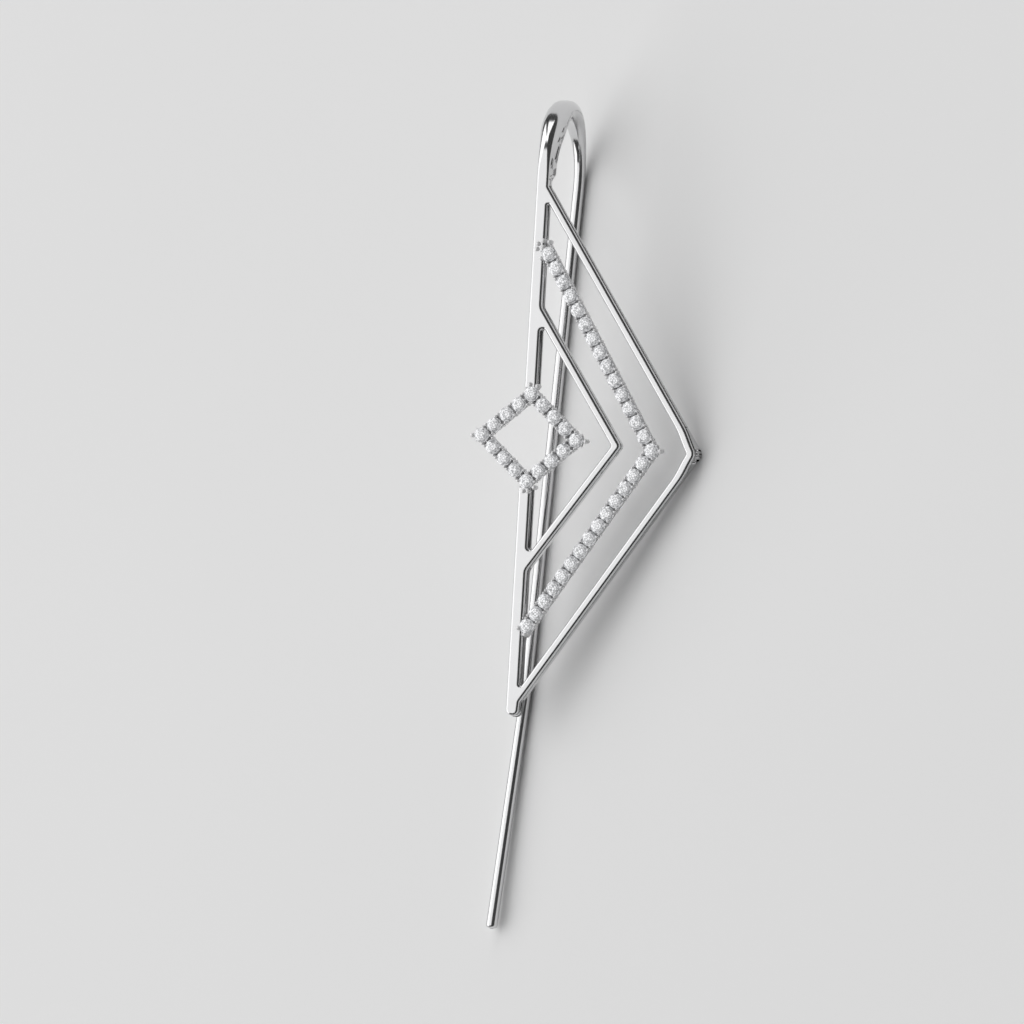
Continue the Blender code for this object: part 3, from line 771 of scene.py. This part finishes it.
def stone_pattern():
    """A brilliant cut stone: table, star and bezel facets, girdle and pavilion, each face carrying a painted glint,
    with painted dark seams round the crown facets.
    """
    stones = bpy.context.scene.cuff_stones
    radius = stones.diameter / 2
    band = stones.girdle_z - GIRDLE_BAND * stones.diameter
    rings = (
        (TABLE_SIDES, 0.0, stones.table / 2, stones.girdle_z + stones.crown),
        (TABLE_SIDES, 0.5, radius * STAR_RADIUS, stones.girdle_z + stones.crown * STAR_RISE),
        (TABLE_SIDES * 2, 0.0, radius, stones.girdle_z),
        (TABLE_SIDES * 2, 0.0, radius, band),
        (TABLE_SIDES, 0.5, radius * PAVILION_RADIUS, band - stones.pavilion * PAVILION_DROP),
        (1, 0.0, 0.0, band - stones.pavilion),
    )
    shape = bmesh.new()
    for count, phase, reach, height in rings:
        for side in range(count):
            angle = math.tau * (side + phase) / count
            shape.verts.new((reach * math.cos(angle), reach * math.sin(angle), height))
    bmesh.ops.convex_hull(shape, input=shape.verts)
    bmesh.ops.dissolve_limit(shape, angle_limit=FLAT_ANGLE, verts=shape.verts, edges=shape.edges)
    bmesh.ops.recalc_face_normals(shape, faces=shape.faces)
    table = max(shape.faces, key=lambda face: face.calc_center_median().z)
    inner_table = stones.table / 2 * (1 - INNER_TABLE)
    bmesh.ops.inset_region(shape, faces=[table], thickness=inner_table, use_even_offset=True)
    # Painted glint: every face starts fully lit, and the thin seams inset round the crown facets are painted dark
    painted_glint = shape.faces.layers.float.new(PAINTED_GLINT)
    for face in shape.faces:
        face[painted_glint] = 1.0
    crown = [face for face in shape.faces if face.normal.z > CROWN_FACES]
    seams = bmesh.ops.inset_individual(shape, faces=crown, thickness=FACET_SEAM, use_even_offset=True)["faces"]
    for face in seams:
        face[painted_glint] = PAINTED_SEAM_SHADE
    return pattern_mesh(shape)


def row_of(start, end, steps):
    """Evenly spaced places from one point to another, both included."""
    return [start.lerp(end, step / steps) for step in range(steps + 1)]


def chevron_row():
    """Stone places down the stone-set chevron, corner stone included once."""
    stones = bpy.context.scene.cuff_stones
    corner = Vector((stones.row_corner_x, stones.row_corner_y))
    upper = row_of(Vector((stones.row_end_x, stones.row_top_y)), corner, stones.row_steps)
    lower = row_of(corner, Vector((stones.row_end_x, stones.row_bottom_y)), stones.row_steps)
    return upper + lower[1:]


def rhombus_ring():
    """Stone places round the rhombus, each once."""
    corners = rhombus_corners()
    places = []
    for corner, following in zip(corners, corners[1:] + corners[:1]):
        places += row_of(corner, following, bpy.context.scene.cuff_stones.rhombus_steps)[:-1]
    return places


def set_claws_and_galleries(shape, row, closed):
    """Claws in pairs on both sides between neighbouring stones, and a gallery loop under each stone."""
    stones = bpy.context.scene.cuff_stones
    claw = claw_pattern(stones.claw_diameter)
    cup = cup_pattern()
    followers = row[1:] + row[:1] if closed else row[1:]
    pitch = (row[1] - row[0]).length
    gallery = gallery_pattern(pitch - 2 * stones.claw_spread)
    for stone in row:
        stamp(shape, cup, Matrix.Translation(stone.to_3d()))
    for stone, following in zip(row, followers):
        along = (following - stone).normalized()
        across = Vector((-along.y, along.x)) * stones.claw_offset
        middle = (stone + following) / 2
        for side in (across, -across):
            for shift in (stones.claw_spread, -stones.claw_spread):
                stamp(shape, claw, Matrix.Translation((middle + side + along * shift).to_3d()))
    gallery_rows = zip(row, followers, row[-1:] + row[:-1] if closed else row[:1] + row[:-1])
    for stone, following, previous in gallery_rows:
        along = (following - previous).normalized()
        across = Vector((-along.y, along.x)) * stones.claw_offset
        facing = Matrix.Rotation(math.atan2(along.y, along.x), 4, "Z")
        for side in (across, -across):
            stamp(shape, gallery, Matrix.Translation((stone + side).to_3d()) @ facing)


def set_beads(shape, places):
    """Round beads that hold the end and corner stones."""
    bead = claw_pattern(bpy.context.scene.cuff_stones.bead_diameter)
    for place in places:
        stamp(shape, bead, Matrix.Translation(place.to_3d()))


def add_rail(shape, loops):
    """The rail under a row, with its edges rounded a little."""
    stones = bpy.context.scene.cuff_stones
    plate(shape, loops, stones.rail_back_z, stones.rail_top_z, RAIL_EDGE)


def chevron_rail():
    """The outline of the stone-set chevron's rail, a mitred strip with square ends."""
    bars = bpy.context.scene.cuff_bars
    stones = bpy.context.scene.cuff_stones
    half = stones.rail_width / 2
    corner = (stones.row_corner_x, stones.row_corner_y)
    upper = line_through((stones.row_end_x, stones.row_top_y), corner)
    lower = line_through((stones.row_end_x, stones.row_bottom_y), corner)
    seat = upright_line(bars.spine_width / 2 + bars.break_clearance)
    corners = [
        upper.moved(half).meets(seat),
        upper.moved(half).meets(lower.moved(-half)),
        lower.moved(-half).meets(seat),
        lower.moved(half).meets(seat),
        upper.moved(-half).meets(lower.moved(half)),
        upper.moved(-half).meets(seat),
    ]
    return [rounded_loop([(place, stones.rail_round) for place in corners])]


def rhombus_rail():
    """The outlines of the rhombus's rail, a mitred open square."""
    stones = bpy.context.scene.cuff_stones
    edges = [band_loop(rhombus_corners(), distance) for distance in (stones.rail_width / 2, -stones.rail_width / 2)]
    return [rounded_loop([(place, stones.rail_round) for place in edge]) for edge in edges]


GOLDEN_TURN = math.pi * (3 - math.sqrt(5))
STONE_TILT = math.radians(2.5)

# For each band of facets from the table outwards: how far out it reaches, and its share of facets painted lit, the
# rest painted dark
FACET_BANDS = ((0.2, 1.0), (0.5, 0.8), (0.78, 0.95), (1.1, 0.75))
# Ranges of painted glint for a lit facet and of painted shade for a dark facet
PAINTED_LIT_GLINT = (0.9, 1.0)
PAINTED_DARK_SHADE = (0.2, 0.5)


def set_stones(shape, row, seed):
    """Cut stones down a row, each turned and tipped a little differently, as a setter leaves them, each facet
    painted lit or dark at random.
    """
    pattern = stone_pattern()
    shape.faces.layers.float.new(PAINTED_GLINT)
    chance = random.Random(seed)
    radius = bpy.context.scene.cuff_stones.diameter / 2
    for index, place in enumerate(row):
        turned = Matrix.Rotation(index * GOLDEN_TURN, 4, "Z")
        tipped = Matrix.Rotation(STONE_TILT * math.sin(index * GOLDEN_TURN), 4, "X")
        known = len(shape.faces)
        stamp(shape, pattern, Matrix.Translation(place.to_3d()) @ tipped @ turned)
        shape.faces.ensure_lookup_table()
        painted_glint = shape.faces.layers.float[PAINTED_GLINT]
        for face in shape.faces[known:]:
            # Each facet is painted lit or dark at random, more often lit near the table
            reach = (face.calc_center_median().to_2d() - place).length / radius
            lit_share = next(share for end, share in FACET_BANDS if reach < end)
            lit = chance.random() < lit_share
            face[painted_glint] *= chance.uniform(*PAINTED_LIT_GLINT) if lit else chance.uniform(*PAINTED_DARK_SHADE)


class Value:
    """A number in a material's nodes, so that shader sums read as plain maths."""

    def __init__(self, tree, socket):
        self.tree = tree
        self.socket = socket

    def maths(self, operation, first, second):
        """Add a Math node for an operation on two values."""
        return node(self.tree, "ShaderNodeMath", {"operation": operation}, {0: first, 1: second})

    def __add__(self, other):
        return self.maths("ADD", self, other)

    def __mul__(self, other):
        return self.maths("MULTIPLY", self, other)

    __radd__ = __add__
    __rmul__ = __mul__


def node(tree, kind, settings, sockets, output=0):
    """Add a node, set it up, feed its sockets with values or links, and return its output."""
    made = tree.nodes.new(kind)
    for name, setting in settings.items():
        setattr(made, name, setting)
    for name, value in sockets.items():
        if isinstance(value, Value):
            tree.links.new(value.socket, made.inputs[name])
        else:
            made.inputs[name].default_value = value
    return Value(tree, made.outputs[output])


def new_material(name, constants, varying):
    """A Principled material with constants on its own sockets and links for what varies."""
    material = bpy.data.materials.new(name)
    material.use_nodes = True
    tree = material.node_tree
    shader = tree.nodes["Principled BSDF"]
    for socket, value in constants.items():
        shader.inputs[socket].default_value = value
    for socket, value in varying(tree).items():
        tree.links.new(value.socket, shader.inputs[socket])
    return material


def object_noise(tree, scale, detail=2.0, stretch=(1.0, 1.0, 1.0)):
    """Noise on the object's own coordinates, stretched along an axis where asked."""
    place = node(tree, "ShaderNodeTexCoord", {}, {}, "Object")
    place = node(tree, "ShaderNodeMapping", {}, {"Vector": place, "Scale": stretch}, "Vector")
    return node(tree, "ShaderNodeTexNoise", {}, {"Vector": place, "Scale": scale, "Detail": detail}, 0)


def colour_mix(tree, share, first, second):
    """A colour between two others."""
    colours = {"A": (*first, 1.0), "B": (*second, 1.0)}
    made = tree.nodes.new("ShaderNodeMix")
    made.data_type = "RGBA"
    tree.links.new(share.socket, made.inputs["Factor"])
    for socket in made.inputs:
        if socket.type == "RGBA":
            socket.default_value = colours[socket.name]
    return Value(tree, next(socket for socket in made.outputs if socket.type == "RGBA"))


def polished_metal():
    """White metal with a hand polish: faint haze, drawn scratches and dulled patches."""
    finish = bpy.context.scene.cuff_finish

    def look(tree):
        haze = object_noise(tree, 260.0)
        scratches = object_noise(tree, 9000.0, 1.0, (1.0, 0.12, 1.0))
        bump = node(
            tree, "ShaderNodeBump", {},
            {"Strength": 0.05, "Distance": 0.00001, "Height": scratches}, "Normal",
        )
        return {
            "Base Color": colour_mix(tree, haze * 0.5, finish.metal, finish.metal_worn),
            "Roughness": 0.1 + haze * 0.06 + scratches * 0.03,
            "Normal": bump,
        }

    return new_material("polished_metal", {"Metallic": 1.0}, look)


def setting_metal():
    """The settings' metal: bright metal mixed with darker, rougher metal in random patches."""
    finish = bpy.context.scene.cuff_finish

    def look(tree):
        random_patches = object_noise(tree, 900.0)
        return {
            "Base Color": colour_mix(tree, random_patches * 0.4, finish.claw_metal, finish.darker_setting_metal),
            "Roughness": 0.2 + random_patches * 0.2,
        }

    return new_material("setting_metal", {"Metallic": 0.12}, look)


def cut_stone():
    """White stones with painted light: each facet's painted glint or painted shade is set by itself, with a finer
    painted sparkle inside the facets, and the stones glow faintly with the same painted colour.
    """
    finish = bpy.context.scene.cuff_finish

    def look(tree):
        painted_glint = node(tree, "ShaderNodeAttribute", {"attribute_name": PAINTED_GLINT}, {}, "Fac")
        place = node(tree, "ShaderNodeTexCoord", {}, {}, "Object")
        cells = node(tree, "ShaderNodeTexVoronoi", {}, {"Vector": place, "Scale": 6000.0}, "Color")
        cell = node(tree, "ShaderNodeSeparateColor", {}, {"Color": cells}, "Red")
        # Painted light: the facets' painted glint, with a finer painted sparkle from the cells
        light = painted_glint * 0.85 + cell * 0.25
        painted_sparkle = colour_mix(tree, light, finish.stone_shade, finish.stone)
        # The painted colour is also given off as a painted glow
        return {"Base Color": painted_sparkle, "Emission Color": painted_sparkle, "Roughness": 0.05 + cell * 0.08}

    return new_material("cut_stone", {"Metallic": 0.1, "IOR": 2.0, "Emission Strength": PAINTED_GLOW}, look)


def pale_floor():
    """A pale matt floor with the faintest mottle."""
    finish = bpy.context.scene.cuff_finish

    def look(tree):
        mottle = object_noise(tree, 14.0)
        darker = tuple(part * 0.97 for part in finish.floor)
        return {
            "Base Color": colour_mix(tree, mottle, finish.floor, darker),
            "Roughness": 0.75 + mottle * 0.1,
        }

    return new_material("pale_floor", {"Specular IOR Level": 0.2}, look)


class CUFF_OT_frame(bpy.types.Operator):
    """Build the plain polished metal: spine, chevrons, ear hook and back pin in one piece"""

    bl_idname = "cuff.frame"
    bl_label = "Polished frame"

    def execute(self, context):
        bars = context.scene.cuff_bars
        shape = bmesh.new()
        plate(shape, frame_outlines(), -bars.depth_at_top, 0.0, BAR_EDGE, bars.ledge)
        slope_and_lean(shape)
        draw_hook_and_pin(shape)
        bmesh.ops.recalc_face_normals(shape, faces=shape.faces)
        piece = laid_object("polished_frame", shape, polished_metal(), math.radians(40))
        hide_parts("cuff_frame")
        return {"FINISHED"}


def relative(stone, places):
    """Bead places given in millimetres from a stone."""
    return [stone + Vector(place) * MM for place in places]


UPPER_END_BEADS = ((0.0, 1.05), (-0.55, 1.15), (-1.02, 0.85), (-1.1, 0.4), (-0.55, 0.6), (-0.66, -0.4))
LOWER_END_BEADS = ((-0.78, -0.2), (-0.17, -0.72))
ROW_CORNER_BEADS = ((0.8, 0.0),)
TOP_BEADS = ((-0.2, 0.82), (0.5, 0.7))
BOTTOM_BEADS = ((-0.25, -0.86), (0.2, -0.88), (0.72, -0.5))
LEFT_BEADS = ((-0.86, -0.05),)
RIGHT_BEADS = ((0.87, -0.05),)


class CUFF_OT_settings(bpy.types.Operator):
    """Build the claw settings of the stone-set chevron and of the rhombus"""

    bl_idname = "cuff.settings"
    bl_label = "Claw settings"

    def execute(self, context):
        metal = setting_metal()
        row = chevron_row()
        corner = row[context.scene.cuff_stones.row_steps]
        beads = relative(row[0], UPPER_END_BEADS) + relative(row[-1], LOWER_END_BEADS)
        beads += relative(corner, ROW_CORNER_BEADS)
        self.build("chevron_setting", "pave_chevron", row, False, chevron_rail(), beads, metal)
        top, left, bottom, right = rhombus_corners()
        beads = relative(top, TOP_BEADS) + relative(bottom, BOTTOM_BEADS)
        beads += relative(left, LEFT_BEADS) + relative(right, RIGHT_BEADS)
        self.build("rhombus_setting", "pave_rhombus", rhombus_ring(), True, rhombus_rail(), beads, metal)
        return {"FINISHED"}

    def build(self, name, node_name, row, closed, rail, beads, metal):
        """One setting: rail, cups, claws, galleries and beads."""
        shape = bmesh.new()
        add_rail(shape, rail)
        set_claws_and_galleries(shape, row, closed)
        set_beads(shape, beads)
        piece = laid_object(name, shape, metal, math.radians(50))
        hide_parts(node_name)


class CUFF_OT_stones(bpy.types.Operator):
    """Cut and set the stones of the chevron and of the rhombus"""

    bl_idname = "cuff.stones"
    bl_label = "Stones"

    def execute(self, context):
        material = cut_stone()
        for name, row in (("chevron_stones", chevron_row()), ("rhombus_stones", rhombus_ring())):
            shape = bmesh.new()
            set_stones(shape, row, seed=len(row))
            laid_object(name, shape, material)
        return {"FINISHED"}


class Softbox(NamedTuple):
    """A studio light: its rise along the spine and turn to the side, its half angles and brightness."""

    name: str
    turned: float
    risen: float
    half_turn: float
    half_rise: float
    brightness: float


SOFTBOXES = (
    Softbox("overhead", -25.0, 4.0, 16.0, 34.0, 1.1),
    Softbox("overhead_edge", -4.5, 4.0, 4.5, 34.0, 0.86),
    Softbox("upper", -13.0, 70.0, 11.0, 18.0, 1.6),
    Softbox("left_wall", -72.0, 0.0, 30.0, 52.0, 1.5),
)
SOFTBOX_DISTANCE = 2.0
WORLD_GREY = 0.06
FLOOR_REACH = 3.0


def add_softbox(box, lie):
    """Hang one softbox round the cuff, facing it."""
    turned = math.radians(box.turned)
    risen = math.radians(box.risen)
    flat_direction = Vector((
        math.sin(turned), math.cos(turned) * math.sin(risen), math.cos(turned) * math.cos(risen)
    ))
    flat_up = Vector((0.0, math.cos(risen), -math.sin(risen)))
    direction = (lie.to_3x3() @ flat_direction).normalized()
    light = bpy.data.lights.new(box.name, "AREA")
    light.shape = "RECTANGLE"
    light.size = 2 * SOFTBOX_DISTANCE * math.tan(math.radians(box.half_turn))
    light.size_y = 2 * SOFTBOX_DISTANCE * math.tan(math.radians(box.half_rise))
    light.energy = box.brightness * math.pi * light.size * light.size_y
    lamp = bpy.data.objects.new(box.name, light)
    lamp.matrix_world = facing_matrix(
        lie.translation + direction * SOFTBOX_DISTANCE, direction, lie.to_3x3() @ flat_up
    )
    bpy.context.scene.collection.objects.link(lamp)


def facing_matrix(place, back, up):
    """A place whose -Z looks away from `back`, with its +Y as near `up` as can be."""
    right = up.cross(back).normalized()
    up = back.cross(right)
    return Matrix.Translation(place) @ Matrix((right, up, back)).transposed().to_4x4()


class CUFF_OT_stage(bpy.types.Operator):
    """Lay the floor, hang the softboxes and place the photograph's camera"""

    bl_idname = "cuff.stage"
    bl_label = "Studio"

    def execute(self, context):
        scene = context.scene
        lie = bars_lie()
        self.lay_floor(scene)
        for box in SOFTBOXES:
            add_softbox(box, lie)
        world = bpy.data.worlds.new("studio_dark")
        world.use_nodes = True
        world.node_tree.nodes["Background"].inputs["Color"].default_value = (WORLD_GREY,) * 3 + (1.0,)
        scene.world = world
        scene.view_settings.view_transform = "Standard"
        self.place_camera(scene, lie)
        return {"FINISHED"}

    def lay_floor(self, scene):
        """A wide pale floor under the cuff."""
        shape = bmesh.new()
        bmesh.ops.create_grid(shape, x_segments=4, y_segments=4, size=FLOOR_REACH)
        mesh = bpy.data.meshes.new("floor")
        shape.to_mesh(mesh)
        shape.free()
        mesh.materials.append(pale_floor())
        floor = bpy.data.objects.new("floor", mesh)
        scene.collection.objects.link(floor)
        floor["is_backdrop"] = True

    def place_camera(self, scene, lie):
        """The photograph's camera: a long lens, a little to the cuff's right, and rolled a little."""
        studio = scene.cuff_studio
        stones = scene.cuff_stones
        turned = studio.camera_turn
        roll = studio.camera_roll
        back = Vector((math.sin(turned), 0.0, math.cos(turned)))
        level = Vector((math.cos(turned), 0.0, -math.sin(turned)))
        upright = Vector((0.0, 1.0, 0.0))
        right = level * math.cos(roll) + upright * math.sin(roll)
        up = upright * math.cos(roll) - level * math.sin(roll)
        middle = Vector((stones.rhombus_x, 0.0, 0.0))
        aim = middle + right * studio.aim_right + up * studio.aim_up
        place = Matrix((right, up, back)).transposed().to_4x4()
        place.translation = aim + back * studio.camera_distance
        data = bpy.data.cameras.new("photograph")
        data.lens = data.sensor_width * studio.camera_distance / studio.picture_width
        camera = bpy.data.objects.new("photograph", data)
        camera.matrix_world = lie @ place
        scene.collection.objects.link(camera)
        scene.camera = camera


class CUFF_PT_workbench(bpy.types.Panel):
    """The cuff's pieces and studio, in the order they are made"""

    bl_label = "Ear Cuff"
    bl_idname = "CUFF_PT_workbench"
    bl_space_type = "VIEW_3D"
    bl_region_type = "UI"
    bl_category = "Ear Cuff"

    def draw(self, context):
        column = self.layout.column()
        for operator in OPERATORS:
            column.operator(operator.bl_idname)
        for group in GROUPS:
            settings = getattr(context.scene, group)
            column.label(text=group.replace("_", " "))
            for name in settings.bl_rna.properties.keys():
                if name not in ("rna_type", "name"):
                    column.prop(settings, name)


GROUPS = {
    "cuff_bars": CuffBars,
    "cuff_hook": CuffHook,
    "cuff_stones": CuffStones,
    "cuff_finish": CuffFinish,
    "cuff_studio": CuffStudio,
}
OPERATORS = (CUFF_OT_frame, CUFF_OT_settings, CUFF_OT_stones, CUFF_OT_stage)


def register():
    """Make the cuff's settings, operators and panel known."""
    for name, group in GROUPS.items():
        bpy.utils.register_class(group)
        setattr(bpy.types.Scene, name, PointerProperty(type=group))
    for operator in (*OPERATORS, CUFF_PT_workbench):
        bpy.utils.register_class(operator)


def unregister():
    """Take them away again."""
    for operator in (CUFF_PT_workbench, *reversed(OPERATORS)):
        bpy.utils.unregister_class(operator)
    for name, group in GROUPS.items():
        delattr(bpy.types.Scene, name)
        bpy.utils.unregister_class(group)


def main():
    """Build the finished cuff in its studio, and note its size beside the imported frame's."""
    register()
    bpy.ops.cuff.frame()
    bpy.ops.cuff.settings()
    bpy.ops.cuff.stones()
    bpy.ops.cuff.stage()
    visual_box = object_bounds()
    for cad_corner, corner in zip(cad_box, visual_box):
        if any(abs(part - cad_part) > BOX_SLACK for part, cad_part in zip(corner, cad_corner)):
            raise ValueError("The finished cuff departs from the packed frame's box")


if __name__ == "__main__":
    main()
